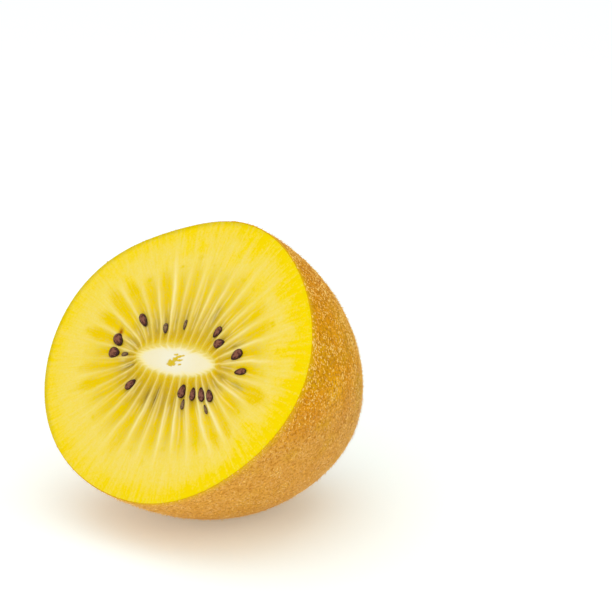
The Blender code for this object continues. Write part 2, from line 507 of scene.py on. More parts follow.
def hand_over(piece: Piece, finish: bpy.types.Material) -> None:
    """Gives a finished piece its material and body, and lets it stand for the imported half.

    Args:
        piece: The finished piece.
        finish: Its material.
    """
    piece.data.materials.clear()
    piece.data.materials.append(finish)
    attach(piece, BODY)
    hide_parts(NODE)
    LOG.info("%s: %d faces", piece.name, len(piece.data.polygons))


@dataclass(frozen=True)
class Layer:
    """One tint laid over the others where a mask says; streaky is how far it follows the fibres."""

    mask: str
    tint: str
    strength: float = 1.0
    streaky: float = 0.0


def lay_tints(tree: Tree, colour: Socket | Node, layers: tuple, streaks: Node | None = None) -> Socket:
    """Lays tints over a colour where their masks say.

    Args:
        tree: The material's nodes.
        colour: The colour so far.
        layers: The tints, the lowest first.
        streaks: How streaky each place is, for the layers that follow the fibres.

    Returns:
        The new colour.
    """
    for layer in layers:
        mask = add_node(tree, "Attribute", {"attribute_name": layer.mask}).outputs["Fac"]
        share = layer.strength
        if layer.streaky:
            even = (1.0 - layer.streaky) * layer.strength
            parts = (streaks, layer.streaky * layer.strength, even)
            share = add_node(tree, "Math", {"operation": "MULTIPLY_ADD"}, parts)
        amount = add_node(tree, "Math", {"operation": "MULTIPLY", "use_clamp": True}, (mask, share))
        mixed = {MIX_SHARE: amount, MIX_UNDER: colour, MIX_OVER: linear_colour(layer.tint)}
        colour = add_node(tree, "Mix", {"data_type": "RGBA"}, mixed).outputs[MIX_RESULT]
    return colour


@dataclass(frozen=True)
class Finish:
    """A finish, under the name of its real material. Ranges are from, to, and what they give there."""

    name: str

    def make(self) -> bpy.types.Material:
        """Builds the material.

        Returns:
            A Principled material with the finish's own nodes.
        """
        made = bpy.data.materials.new(self.name)
        made.use_nodes = True
        feed(made.node_tree.nodes["Principled BSDF"], self.paint(made.node_tree))
        return made

    def paint(self, tree: Tree) -> Inputs:
        """Adds the finish's own nodes.

        Args:
            tree: The material's nodes.

        Returns:
            The shader's inputs.
        """
        raise NotImplementedError


@dataclass(frozen=True)
class CutFlesh(Finish):
    """Freshly cut ripe kiwi flesh, as a knife leaves it: wet, faintly see-through and finely grained.

    It gives the eye a bright yellow that glows from within, golden pockets, pale rays and a soft edge.
    """

    name: str = "cut_ripe_flesh"
    roughness: float = 0.42
    specular: float = 0.03
    refraction: float = 1.38
    glow: float = 0.30
    glow_mm: float = 0.8
    glow_colours: tuple = (1.0, 0.7, 0.15)
    grain_mm: float = 0.22
    grain_depth_mm: float = 0.03
    fibre_turns: float = 42.0
    fibre_breaks: float = 9.0
    streak_range: tuple = (0.40, 0.60, 0.0, 1.5)
    juice_range: tuple = (0.75, 1.45, 0.93, 1.08)
    relief_range: tuple = (0.80, 1.40, -0.08, 0.06)
    stops: tuple = (
        (0.00, "#ECD168"),
        (0.04, "#E5C640"),
        (0.10, "#DBB726"),
        (0.30, "#CDA81A"),
        (0.42, "#D0AA0E"),
        (0.55, "#E0BE18"),
        (0.70, "#EFD34E"),
        (0.80, "#F4DA62"),
        (0.90, "#F5DA58"),
        (0.98, "#F5D73C"),
    )
    layers: tuple = (
        Layer("rich", "#F8D80C", 0.8),
        Layer("airy", "#EFD452", 0.55),
        Layer("crown", "#EECA00", 1.0, 0.05),
        Layer("root", "#DAB010", 0.75, 0.3),
        Layer("olive", "#A9904A", 0.75, 0.7),
        Layer("murk", "#685438", 0.9, 0.6),
        Layer("halo", "#F5DF78", 0.65),
        Layer("ray", "#FAEAA8", 0.9),
        Layer("dots", "#ECCE00", 0.9),
        Layer("rim", "#F8D800", 1.0),
        Layer("green", "#C8AE10", 0.7),
        Layer("cream", "#F6E6A0", 1.0),
        Layer("white", "#F4E8C0", 1.0),
        Layer("snow", "#F4EFDA", 0.8),
        Layer("pit", "#DAB918", 0.95),
        Layer("stain", "#A04010", 0.95),
    )

    def paint(self, tree: Tree) -> Inputs:
        """Lays tints over a ramp from core to skin, and lets juice and fibres vary them.

        Args:
            tree: The material's nodes.

        Returns:
            The shader's inputs.
        """
        where = add_node(tree, "TexCoord")
        reach = add_node(tree, "Attribute", {"attribute_name": "reach"}).outputs["Fac"]
        colour = add_node(tree, "ValToRGB", {"stops": self.stops}, (reach,))

        # Fibres run out from the core: noise on the turn round the face, drawn out along the reach
        parts = add_node(tree, "SeparateXYZ", inputs=(where.outputs["UV"],))
        turn = add_node(tree, "Math", {"operation": "MULTIPLY"}, (parts, 2.0 * math.pi))
        sine = add_node(tree, "Math", {"operation": "SINE"}, (turn,))
        cosine = add_node(tree, "Math", {"operation": "COSINE"}, (turn,))
        wheel = add_node(tree, "CombineXYZ", inputs=(cosine, sine, parts.outputs[1]))
        drawn_out = (self.fibre_turns, self.fibre_turns, self.fibre_breaks)
        fibre_place = add_node(tree, "VectorMath", {"operation": "MULTIPLY"}, (wheel, drawn_out))
        fibre_sizes = {"Vector": fibre_place, "Scale": 1.0, "Detail": 3.0, "Roughness": 0.6}
        fibres = add_node(tree, "TexNoise", inputs=fibre_sizes)
        streaks = add_node(tree, "MapRange", inputs=(fibres, *self.streak_range))
        colour = lay_tints(tree, colour, self.layers, streaks)

        # The cut cells hold more or less juice, so the yellow is now deeper, now paler, but as light
        grain_sizes = {"Scale": noise_scale(self.grain_mm), "Detail": 2.0, "Roughness": 0.65}
        grain = add_node(tree, "TexNoise", inputs={"Vector": where.outputs["Object"], **grain_sizes})
        juice = add_node(tree, "Math", {"operation": "MULTIPLY_ADD"}, (fibres, 1.2, grain))
        depth = add_node(tree, "MapRange", inputs=(juice, *self.juice_range))
        colour = add_node(tree, "HueSaturation", inputs={"Saturation": depth, "Color": colour})

        # In the pockets the fibres stand out, now darker, now paler
        pocket = add_node(tree, "Attribute", {"attribute_name": "pocket"}).outputs["Fac"]
        relief = add_node(tree, "MapRange", inputs=(juice, *self.relief_range))
        shade = add_node(tree, "Math", {"operation": "MULTIPLY_ADD"}, (relief, pocket, 1.0))
        colour = add_node(tree, "VectorMath", {"operation": "SCALE"}, {0: colour, "Scale": shade})
        bumps = {"Strength": 0.15, "Distance": self.grain_depth_mm * MM, "Height": grain}
        return {
            "Base Color": colour,
            "Normal": add_node(tree, "Bump", inputs=bumps),
            "Roughness": self.roughness,
            "Specular IOR Level": self.specular,
            "IOR": self.refraction,
            "Subsurface Weight": self.glow,
            "Subsurface Radius": self.glow_colours,
            "Subsurface Scale": self.glow_mm * MM,
        }


@dataclass(frozen=True)
class Peel(Finish):
    """Thin ripe kiwi peel, grown: leathery, matt to satin, with rubbed-off fuzz.

    It gives the eye an amber gold with fine ochre mottling, paler and tanner low down, for thicker fuzz and
    painted bounced light.
    """

    name: str = "ripe_peel"
    patch_mm: float = 5.0
    speck_mm: float = 0.28
    speck_depth_mm: float = 0.06
    pore_range: tuple = (0.32, 0.58, 0.8, 0.0)
    roughness: float = 0.55
    stops: tuple = ((0.34, "#E49200"), (0.52, "#EEA200"), (0.70, "#F4B200"))
    pores: str = "#B46A00"
    down: str = "#F3CF9A"
    # The low tint is partly the thicker fuzz low down, partly painted light bounced up from the floor
    before_pores: tuple = (Layer("low", "#E3A94E", 0.85), Layer("gold", "#DDA808", 0.7))
    after_pores: tuple = (Layer("edge", "#E4B60C", 0.75), Layer("cork", "#8A5526", 0.85))

    def paint(self, tree: Tree) -> Inputs:
        """Varies the gold in broad patches, lays tints over it and darkens the pores.

        Args:
            tree: The material's nodes.

        Returns:
            The shader's inputs.
        """
        where = add_node(tree, "TexCoord").outputs["Object"]
        patches = {"Vector": where, "Scale": noise_scale(self.patch_mm), "Detail": 2.0}
        broad = add_node(tree, "TexNoise", inputs=patches)
        colour = add_node(tree, "ValToRGB", {"stops": self.stops}, (broad,))
        colour = lay_tints(tree, colour, self.before_pores)
        sizes = {"Vector": where, "Scale": noise_scale(self.speck_mm), "Detail": 2.0, "Roughness": 0.6}
        specks = add_node(tree, "TexNoise", inputs=sizes)
        shade = add_node(tree, "MapRange", inputs=(specks, *self.pore_range))
        mixed = {MIX_SHARE: shade, MIX_UNDER: colour, MIX_OVER: linear_colour(self.pores)}
        colour = add_node(tree, "Mix", {"data_type": "RGBA"}, mixed).outputs[MIX_RESULT]
        bumps = {"Strength": 0.5, "Distance": self.speck_depth_mm * MM, "Height": specks}
        return {
            "Base Color": lay_tints(tree, colour, self.after_pores),
            "Normal": add_node(tree, "Bump", inputs=bumps),
            "Roughness": self.roughness,
            "Specular IOR Level": 0.02,
            "Sheen Weight": 0.01,
            "Sheen Roughness": 0.5,
            "Sheen Tint": linear_colour(self.down),
        }


@dataclass(frozen=True)
class DryGrowth(Finish):
    """Dry plant hair or cork, grown and rubbed: matt and fibrous.

    It gives the eye one tan that varies a little from spot to spot.
    """

    dark: str
    light: str
    patch_mm: float = 1.2
    roughness: float = 0.75

    def paint(self, tree: Tree) -> Inputs:
        """Lets the tan vary between its dark and its light.

        Args:
            tree: The material's nodes.

        Returns:
            The shader's inputs.
        """
        where = add_node(tree, "TexCoord").outputs["Object"]
        spots = {"Vector": where, "Scale": noise_scale(self.patch_mm), "Detail": 2.0}
        patches = add_node(tree, "TexNoise", inputs=spots)
        stops = ((0.30, self.dark), (0.70, self.light))
        return {
            "Base Color": add_node(tree, "ValToRGB", {"stops": stops}, (patches,)),
            "Roughness": self.roughness,
            "Specular IOR Level": 0.2,
        }


@dataclass(frozen=True)
class SeedCoat(Finish):
    """The hard coat of a ripe seed, wet from the flesh.

    It gives the eye a dark brown round the edge, painted darker as shade, and a reddish pitted top painted
    lighter as a highlight.
    """

    name: str = "wet_seed_coat"
    # The outline colour is painted shade round the edge, the crown colour a painted highlight on top; the
    # coat is the seed's own brown
    outline: str = "#2A120B"
    coat: str = "#5A3024"
    crown: str = "#8A5844"
    ridges: tuple = (16.0, 7.0, 1.0)
    ridge_depth_mm: float = 0.03
    roughness: float = 0.34

    def paint(self, tree: Tree) -> Inputs:
        """Makes the coat lighter and redder with height, where its ridges stand up: painted shade round the
        edge, a painted highlight on top.

        Args:
            tree: The material's nodes.

        Returns:
            The shader's inputs.
        """
        where = add_node(tree, "TexCoord").outputs["UV"]
        rise = add_node(tree, "Attribute", {"attribute_name": "rise"}).outputs["Fac"]
        grid = add_node(tree, "Mapping", inputs={"Vector": where, "Scale": self.ridges})
        pattern = add_node(tree, "TexNoise", inputs={"Vector": grid, "Scale": 1.0, "Detail": 2.0})
        lifted = add_node(tree, "Math", {"operation": "MULTIPLY_ADD"}, (pattern, 0.9, -0.45))
        height = add_node(tree, "Math", {"operation": "ADD"}, (rise, lifted))
        # Painted light: low on the seed the coat is painted dark as shade, high on it light and red as a
        # highlight
        stops = ((0.66, self.outline), (0.84, self.coat), (1.0, self.crown))
        bumps = {"Strength": 0.4, "Distance": self.ridge_depth_mm * MM, "Height": pattern}
        return {
            "Base Color": add_node(tree, "ValToRGB", {"stops": stops}, (height,)),
            "Normal": add_node(tree, "Bump", inputs=bumps),
            "Roughness": self.roughness,
            "Specular IOR Level": 0.15,
        }


@dataclass(frozen=True)
class StudioPaper(Finish):
    """Matt white paper, lit through from behind: it gives the eye plain white with a soft shadow."""

    name: str = "white_studio_paper"
    tint: str = "#F8FDFA"
    lift: str = "#F0FFF8"
    lift_strength: float = 0.22

    def paint(self, tree: Tree) -> Inputs:
        """Sets the paper's colour and its light; it needs no nodes of its own."""
        return {
            "Base Color": linear_colour(self.tint),
            "Roughness": 0.9,
            "Specular IOR Level": 0.1,
            "Emission Color": linear_colour(self.lift),
            "Emission Strength": self.lift_strength,
        }


# The core's pith is cut flesh too: paler by its masks, matt, and without the glow from inside
PITH = CutFlesh("moist_core_pith", roughness=0.5, glow=0.0)

# A seed that shows through a thin layer of flesh is paler and browner than one that was cut free
# Its edge and top colours are again painted shade and a painted highlight, only paler and browner
VEILED_COAT = SeedCoat("seed_coat_under_flesh", "#463226", "#604634", "#8C704C")
STEM_WOOD = DryGrowth("woody_stem_stub", "#3E2818", "#80603C")


@dataclass(frozen=True)
class Seed:
    """One seed: its place counted in rays, its share of the way from core to skin, and its sizes.

    The turn is in degrees from the pocket's own line, and sunk is how far its middle lies under the cut.
    """

    place: float
    reach: float
    length: float
    width: float
    turn: float
    sunk: float
    veiled: bool = False


SEEDS = (
    Seed(0.60, 0.44, 2.5, 1.7, 25.0, 0.10),
    Seed(2.45, 0.25, 2.3, 1.6, 147.0, 0.05),
    Seed(3.48, 0.32, 2.3, 1.3, 0.0, 0.10),
    Seed(7.35, 0.26, 1.9, 0.7, 0.0, 0.15, veiled=True),
    Seed(9.52, 0.23, 1.9, 1.1, 0.0, 0.15, veiled=True),
    Seed(11.65, 0.43, 2.9, 1.4, 4.0, 0.05),
    Seed(14.35, 0.50, 2.6, 1.9, -30.0, 0.05),
    Seed(15.50, 0.49, 2.3, 2.0, 0.0, 0.05),
    Seed(15.55, 0.33, 1.5, 0.8, 12.0, 0.15, veiled=True),
    Seed(19.50, 0.33, 2.5, 1.4, -8.0, 0.05),
    Seed(25.45, 0.20, 2.5, 1.6, -12.0, 0.05),
    Seed(25.65, 0.35, 1.9, 0.8, -10.0, 0.15, veiled=True),
    Seed(26.60, 0.26, 2.4, 1.2, -12.0, 0.05),
    Seed(27.55, 0.31, 2.7, 1.3, -7.0, 0.00),
    Seed(27.55, 0.49, 1.9, 0.6, 0.0, 0.15, veiled=True),
    Seed(28.52, 0.38, 2.4, 1.3, -12.0, 0.05),
    Seed(31.42, 0.52, 2.5, 1.2, 15.0, 0.10),
)

# Seeds that lie too deep to be cut free: they only darken the flesh over them
BURIED = (
    (17.21, 0.245), (4.69, 0.438), (1.26, 0.465), (30.55, 0.544),
    (22.64, 0.284), (13.90, 0.297), (21.87, 0.338),
)

# The small rust-coloured streak beside one seed, by its place and reach
STAIN = (13.72, 0.53)

# The ragged hollow in the core's middle, as flakes: place across and up, length, width, and turn in degrees
PIT_FLAKES = (
    (-0.55, -0.65, 2.6, 1.5, 8.0),
    (-0.05, 0.05, 1.9, 1.2, 35.0),
    (0.60, 0.75, 2.6, 0.60, 25.0),
    (0.95, 0.15, 1.7, 0.55, 20.0),
    (-0.15, 0.95, 1.2, 0.55, 15.0),
    (1.30, -0.55, 1.0, 0.45, 25.0),
)


@dataclass
class CutPattern:
    """Where the cut face is ray, pocket, core, murky or clear, as masks from 0 to 1.

    A mood is a level, and swings round the face: times round, size, and the ray where each is highest. A draw
    is the lowest and the highest that a ray or pocket may get.
    """

    crown_mood: tuple = (0.85, (2, 0.42, 14.5), (5, 0.10, 2.0), (1, 0.12, 0.0))
    root_mood: tuple = (0.60, (1, 0.25, 30.0), (4, 0.15, 1.0))
    olive_mood: tuple = (0.30, (2, -0.30, 1.0), (3, 0.15, 9.0), (5, 0.15, 4.0))
    airy_mood: tuple = (0.10, (1, 0.50, 8.0))
    ray_mood: tuple = (0.85, (1, -0.25, 15.5), (2, -0.20, 15.5))
    ray_draws: tuple = ((0.35, 1.0), (0.74, 0.90))
    pocket_draws: tuple = ((0.68, 0.88), (-0.25, 0.25), (0.75, 1.25))
    thread_draws: tuple = ((0.2, 0.8), (0.12, 0.40), (0.45, 0.74), (-0.5, 0.5))
    root_draw: tuple = (-0.02, 0.03)
    dot_draws: tuple = ((0.70, 0.81), (0.2, 1.3))
    cut_free_shade: float = 0.40
    buried_shade: float = 0.95
    draw_seed: int = 5

    def masks(self, count: Array, reach: Array, x: Array, y: Array) -> Masks:
        """Works out every mask of the cut face.

        Args:
            count: Each point's place round the core, counted in rays.
            reach: Its share of the way from core to skin.
            x: Its place on the face, in millimetres.
            y: The same, across.

        Returns:
            The masks by name.
        """
        draw = np.random.default_rng(self.draw_seed)
        ray = np.rint(count).astype(int) % FORM.rays
        pocket = np.floor(count).astype(int) % FORM.rays
        strength, end = self._drawn(draw, self.ray_draws, ray)
        top, lean, richness = self._drawn(draw, self.pocket_draws, pocket)
        pitch = self._pitch(count, reach)
        out = np.clip(reach, 0.0, 1.0)

        # The rays: a thin pale line in a wider halo, both broader and fainter outwards
        sway = 0.16 * ripple(reach * 2.6, ray * 3.7, 0.0) * smooth_step(reach, 0.02, 0.30)
        sway += 0.04 * ripple(reach * 11.0, ray * 3.7, 0.0, 31.0)
        off = (count - np.rint(count) + sway) * pitch
        length = band(reach, -0.02, 0.10, end - 0.25, end + 0.05)
        outward = 0.45 + 0.55 * smooth_step(reach, 0.15, 0.50)
        mood = 1.0 + (self._mood(count - 0.5, self.ray_mood) - 1.0) * smooth_step(reach, 0.30, 0.45)
        line = bell(off, 0.09 + 0.26 * out) * strength * length * outward * mood
        halo = bell(off, 0.22 + 0.95 * out) * length * (0.5 + 0.5 * strength) * outward * mood
        line = np.maximum(line, self._threads(draw, count, reach, pitch) * np.clip(mood, 0.3, 1.0))

        # The pockets: gold at the crown, deeper gold at the root, olive between where juice has gathered
        inside = 1.0 - bell(off, 0.16 + 0.12 * pitch)
        middle = (count % 1.0) - 0.5 + lean * (reach - 0.4)
        patches = ripple(x * 0.30, y * 0.30, 0.0, 7.0)
        fibre = ripple(count * 5.0, reach * 2.5, 0.0, 3.0)
        arch = reach + 0.5 * middle ** 2
        crown = smooth_step(reach, 0.30, 0.55) * (1.0 - smooth_step(arch, top - 0.14, top + 0.02))
        crown = crown * inside * self._mood(count, self.crown_mood) * richness
        crown = crown * (1.0 + 0.6 * patches + 0.25 * fibre)
        root_start = self._drawn(draw, (self.root_draw,), pocket)[0]
        root = smooth_step(reach - 0.20 * middle ** 2, root_start, root_start + 0.05)
        root = root * (1.0 - smooth_step(reach, 0.10, 0.26))
        root = root * inside * self._mood(count, self.root_mood) * (1.0 + 0.4 * fibre)
        olive = bell(reach - 0.30, 0.14) * inside * self._mood(count, self.olive_mood) * (0.8 + 0.9 * fibre)
        murk = self._murk(x, y) * (0.8 + 0.6 * fibre) * (1.0 - 0.7 * bell(off, 0.20))
        airy = self._mood(count - 0.5, self.airy_mood) * (1.0 + 0.5 * fibre)

        # The outer flesh: small dots where the pockets end, richer patches, a deep rim and a trace of green
        dot_reach, dot_strength = self._drawn(draw, self.dot_draws, pocket)
        uneven = 0.5 * ripple(count * 2.3, reach * 30.0, 0.0, 19.0)
        spots = smooth_step(bell(middle, 0.30) + uneven, 0.75, 1.1)
        rich = ripple(x * 0.22, y * 0.22, 0.0, 61.0) + 0.25 * fibre + 0.016 * x + 0.010 * y
        rich = smooth_step(rich, 0.12, 0.62) * smooth_step(reach, 0.66, 0.84) * (1.0 - 0.8 * bell(off, 0.8))
        rim = smooth_step(reach + 0.02 * patches, 0.89, 0.975) * (0.30 + 0.70 * smooth_step(x, 0.0, 21.0))
        masks = {
            "reach": reach,
            "ray": line,
            "halo": halo,
            "crown": crown,
            "root": root,
            "olive": olive,
            "murk": murk,
            "airy": airy * band(reach, 0.12, 0.30, 0.60, 0.80),
            "dots": spots * bell(reach - dot_reach, 0.017) * dot_strength,
            "rich": rich,
            "rim": rim,
            "green": smooth_step(reach, 0.975, 1.0) * smooth_step(0.5 * y - x, 0.0, 20.0),
            "pocket": inside * band(reach, 0.03, 0.12, 0.60, 0.80),
            "stain": self._stain(x, y),
            **self._core(count, x, y, off),
        }
        return {name: np.clip(values, 0.0, 1.0) for name, values in masks.items()}

    def _drawn(self, draw: np.random.Generator, draws: tuple, which: Array) -> list[Array]:
        """Draws a number a ray or pocket for each range, and gives every point its own."""
        return [draw.uniform(low, high, FORM.rays)[which] for low, high in draws]

    def _mood(self, count: Array, mood: tuple) -> Array:
        """How strong something is in each pocket: a level that swings slowly round the face.

        Args:
            count: Each point's place round the core, counted in rays.
            mood: The level and the swings.

        Returns:
            The strength, never under 0.
        """
        level, *swings = mood
        middle = np.floor(count) + 0.5
        turn = 2.0 * math.pi / FORM.rays
        swung = sum(size * np.cos(times * turn * (middle - high)) for times, size, high in swings)
        return np.maximum(level + swung, 0.0)

    def _pitch(self, count: Array, reach: Array) -> Array:
        """The distance in millimetres from one ray to the next at each place.

        Args:
            count: Places round the core, counted in rays.
            reach: Shares of the way from core to skin.

        Returns:
            The distances.
        """
        step = 0.05
        x0, y0 = FORM.place_on_face(count - step, np.maximum(reach, 0.0))
        x1, y1 = FORM.place_on_face(count + step, np.maximum(reach, 0.0))
        return np.hypot(x1 - x0, y1 - y0) / (2.0 * step)

    def _threads(self, draw: np.random.Generator, count: Array, reach: Array, pitch: Array) -> Array:
        """Thin threads inside the pockets, two at most in each, that wander and fade.

        Args:
            draw: The seeded generator.
            count: Each point's place round the core, counted in rays.
            reach: Its share of the way from core to skin.
            pitch: The distance from ray to ray there.

        Returns:
            How much of a thread each point is.
        """
        pocket = np.floor(count).astype(int) % FORM.rays
        width = 0.10 + 0.10 * np.clip(reach, 0.0, 1.0)
        threads = np.zeros_like(count)
        for number in range(2):
            place, start, end, slant = self._drawn(draw, self.thread_draws, pocket)
            wander = 0.10 * ripple(reach * 5.0, pocket * 2.9, 0.0, 41.0 + number)
            beside = ((count % 1.0) - place + slant * (reach - 0.35) + wander) * pitch
            along = band(reach, start, start + 0.08, end - 0.12, end + 0.04)
            threads = np.maximum(threads, bell(beside, width) * along * 0.45)
        return threads

    def _core(self, count: Array, x: Array, y: Array, off: Array) -> Masks:
        """The core's tints, with a ragged edge that runs out into the rays.

        Args:
            count: Each point's place round the core, counted in rays.
            x: Its place on the face, in millimetres.
            y: The same, across.
            off: Its distance from the nearest ray's line.

        Returns:
            The masks by name.
        """
        distance = FORM.core_distance(x, y)
        ends = smooth_step(np.abs(x), 4.5, 9.0) * np.where(x < 0.0, 1.4, 0.6)
        above = 0.45 * smooth_step(y - 0.1 * x, 0.0, 1.8)
        ragged = 0.40 * ripple(count * 1.3, distance * 0.4, 0.0, 11.0)
        into_rays = 0.9 * bell(off, 0.22)
        white = 1.0 - smooth_step(distance + ragged + ends + above, -1.0, 0.05 + 0.5 * into_rays)
        cream = 1.0 - smooth_step(distance + ragged + 0.5 * ends + above, -0.50, 0.30 + into_rays)
        snow = bell(np.hypot(x, 1.6 * y), 4.0) * white
        return {"white": white, "cream": cream, "snow": snow, "pit": self._pit(x, y)}

    def _murk(self, x: Array, y: Array) -> Array:
        """Grey-green shade round the seeds and over those that lie deep.

        Args:
            x: Each point's place on the face, in millimetres.
            y: The same, across.

        Returns:
            The shade at each point.
        """
        places = [(seed.place, seed.reach, self.cut_free_shade) for seed in SEEDS]
        places += [(place, reach, self.buried_shade) for place, reach in BURIED]
        shade = np.zeros_like(x)
        for place, reach, depth in places:
            at_x, at_y = FORM.along_ray(place, reach - 0.02, reach + 0.02)
            heading = math.atan2(at_y[1] - at_y[0], at_x[1] - at_x[0])
            along, across = turned(x - at_x.mean(), y - at_y.mean(), -heading)
            shade = np.maximum(shade, depth * bell(along, 1.7) * bell(across, 0.60))
        return shade

    def _stain(self, x: Array, y: Array) -> Array:
        """The small rust-coloured streak beside one seed."""
        (at_x,), (at_y,) = FORM.along_ray(*STAIN)
        return bell((x - at_x + 0.3 * (y - at_y)) / 0.45, 1.0) * bell((y - at_y) / 0.7, 1.0)

    def _pit(self, x: Array, y: Array) -> Array:
        """The small ragged golden spot in the middle of the core.

        Args:
            x: Each point's place on the face, in millimetres.
            y: The same, across.

        Returns:
            How golden each point is, 0 to 1.
        """
        shade = np.zeros_like(x)
        for middle_x, middle_y, length, width, turn in PIT_FLAKES:
            along, across = turned(x - middle_x, y - middle_y, -math.radians(turn))
            shade = np.maximum(shade, bell(np.hypot(along / (0.5 * length), across / (0.5 * width)), 0.9))
        return smooth_step(shade + 0.30 * ripple(x * 2.2, y * 2.2, 0.0, 2.0), 0.34, 0.66)


@dataclass
class Flesh:
    """The flesh: the cut face with its rays and pockets, and the rounded side that lies inside the peel."""

    columns: int = 512
    hidden_rows: int = 6
    face_rows: int = 112
    side_rows: int = 20
    hidden_drop: float = 0.4
    peel: float = 0.22
    tuck: float = 0.03
    pocket_depth: float = 0.32
    ray_lift: float = 0.05
    scar_room: float = 1.5
    pattern: CutPattern = field(default_factory=CutPattern)

    def place(self, around: Array, along: Array) -> tuple[Array, Masks]:
        """The flesh's points and masks, from the middle of the cut over its edge and down to the fruit's end.

        Args:
            around: Share of the way round.
            along: Share of the way from the cut's middle to the fruit's end.

        Returns:
            Rows of x, y and z in metres, and the masks.
        """
        row = np.rint(along * (self.hidden_rows + self.face_rows + self.side_rows))
        count = around * FORM.rays
        direction = FORM.ray_direction(count)
        edge_spread = FORM.spread_at_skin(direction)
        reach = np.clip((row - self.hidden_rows) / self.face_rows, 0.0, 1.0)
        spread = FORM.core_spread + reach * (edge_spread - FORM.core_spread)
        x, y = FORM.face_point(spread, direction)
        inner = np.clip(row / self.hidden_rows, 0.0, 1.0) ** 0.1
        x, y = x * inner, y * inner
        squeeze = 1.0 - (self.peel - self.tuck) / FORM.face_radius * smooth_step(reach, 0.85, 1.0)
        masks = self.pattern.masks(count, reach, x, y)

        z = -self.pocket_depth * FORM.pocket(count, reach) - self.hidden_drop * (inner < 1.0)
        z += self.ray_lift * masks["ray"] * smooth_step(reach, 0.0, 0.1)
        z -= self.tuck * smooth_step(reach, 0.985, 1.0)
        face = np.stack((x * squeeze, y * squeeze, z), axis=-1)

        edge_x, edge_y = FORM.face_point(edge_spread, direction)
        down = np.clip((row - self.hidden_rows - self.face_rows) / self.side_rows, 0.0, 1.0)
        share = np.cos(0.5 * math.pi * down) ** (2.0 / FORM.girth_power)
        share = np.where(down > 1.0 - 1e-9, 0.0, share)
        side = FORM.body_point(np.arctan2(edge_y, edge_x), share)
        side[:, :2] *= 1.0 - (self.peel - self.tuck) / FORM.face_radius
        side[:, 2] *= 1.0 - (self.peel + self.tuck) / FORM.half_length
        side[:, 2] += self.scar_room * (1.0 - smooth_step(share, 0.15, 0.45)) - self.tuck
        points = np.where(down[:, None] > 0.0, side, face)
        return lay_down(points, floor=self.peel + self.tuck), masks

    def build(self) -> Piece:
        """Rolls up the flesh and returns it."""
        rows = self.hidden_rows + self.face_rows + self.side_rows
        return roll_up("flesh", self.columns, rows, self.place)


@dataclass
class Core:
    """The pale core: a low oval cushion with a ragged pit, its edge let into the flesh."""

    columns: int = 256
    top_rows: int = 44
    under_rows: int = 4
    rise: float = 0.10
    root: float = 0.8
    pit_depth: float = 0.06
    pattern: CutPattern = field(default_factory=CutPattern)

    def place(self, around: Array, along: Array) -> tuple[Array, Masks]:
        """The core's points and masks, from its middle over its edge and back underneath.

        Args:
            around: Share of the way round.
            along: Share of the way from the top's middle to the underside's.

        Returns:
            Rows of x, y and z in metres, and the masks.
        """
        row = np.rint(along * (self.top_rows + self.under_rows))
        count = around * FORM.rays
        direction = FORM.ray_direction(count)
        x, y = FORM.face_point(np.full_like(direction, FORM.core_spread), direction)
        on_top = row <= self.top_rows
        out = np.where(on_top, row / self.top_rows, (self.top_rows + self.under_rows - row) / self.under_rows)
        out = np.where(on_top, out, 0.96 * out)
        x, y = x * out, y * out
        masks = self.pattern.masks(count, np.zeros_like(count), x, y)
        fibres = 0.03 * ripple(x * 2.2, y * 2.2, 0.0, 5.0)
        cushion = self.rise * (1.0 - smooth_step(out, 0.62, 1.0)) + fibres * (1.0 - out)
        top = cushion - self.pit_depth * masks["pit"] + 0.02 * (1.0 - out)
        z = np.where(on_top, top, -self.root)
        return lay_down(np.stack((x, y, z), axis=-1)), masks

    def build(self) -> Piece:
        """Rolls up the core and returns it."""
        return roll_up("core", self.columns, self.top_rows + self.under_rows, self.place)


@dataclass
class SeedSet:
    """The seeds: one drop modelled once, and a copy of it for each seed."""

    segments: int = 28
    rings: int = 18
    taper: float = 0.24
    thickness: float = 0.48

    def build(self) -> list[Piece]:
        """Models the drop, then lays a copy in each pocket.

        Returns:
            The seeds in order.
        """
        deselect_everything()
        bpy.ops.mesh.primitive_uv_sphere_add(segments=self.segments, ring_count=self.rings, radius=1.0)
        drop = bpy.context.object
        points = read_points(drop.data)
        along = points[:, 2].copy()
        girth = 1.0 - self.taper * along
        shaped = np.stack((along, points[:, 0] * girth, points[:, 1] * girth), axis=-1)
        write_points(drop.data, shaped)
        # The seed's height share, 0 below and 1 on top: the coat is painted dark by it as shade low down and
        # light as a highlight on top
        write_masks(drop.data, {"rise": np.clip(0.5 + 0.5 * shaped[:, 2], 0.0, 1.0)})
        bpy.ops.object.shade_smooth()
        seeds = [self._lay(drop, number, seed) for number, seed in enumerate(SEEDS, start=1)]
        bpy.data.objects.remove(drop, do_unlink=True)
        return seeds

    def _lay(self, drop: Piece, number: int, seed: Seed) -> Piece:
        """Lays one seed in its pocket.

        Args:
            drop: The modelled drop.
            number: The seed's number.
            seed: Its place and sizes.

        Returns:
            The seed, with its own mesh.
        """
        x, y = FORM.along_ray(seed.place, seed.reach, seed.reach - 0.01)
        heading = math.atan2(y[1] - y[0], x[1] - x[0]) + math.radians(seed.turn)
        sizes = np.array((0.5 * seed.length, 0.5 * seed.width, 0.5 * seed.width * self.thickness))
        points = read_points(drop.data) * sizes @ np.array(Matrix.Rotation(heading, 3, "Z")).T
        points += np.array((x[0], y[0], -seed.sunk))
        laid = add_object(f"seed_{number:02d}", drop.data.copy())
        write_points(laid.data, lay_down(points))
        point_out(laid)
        return laid


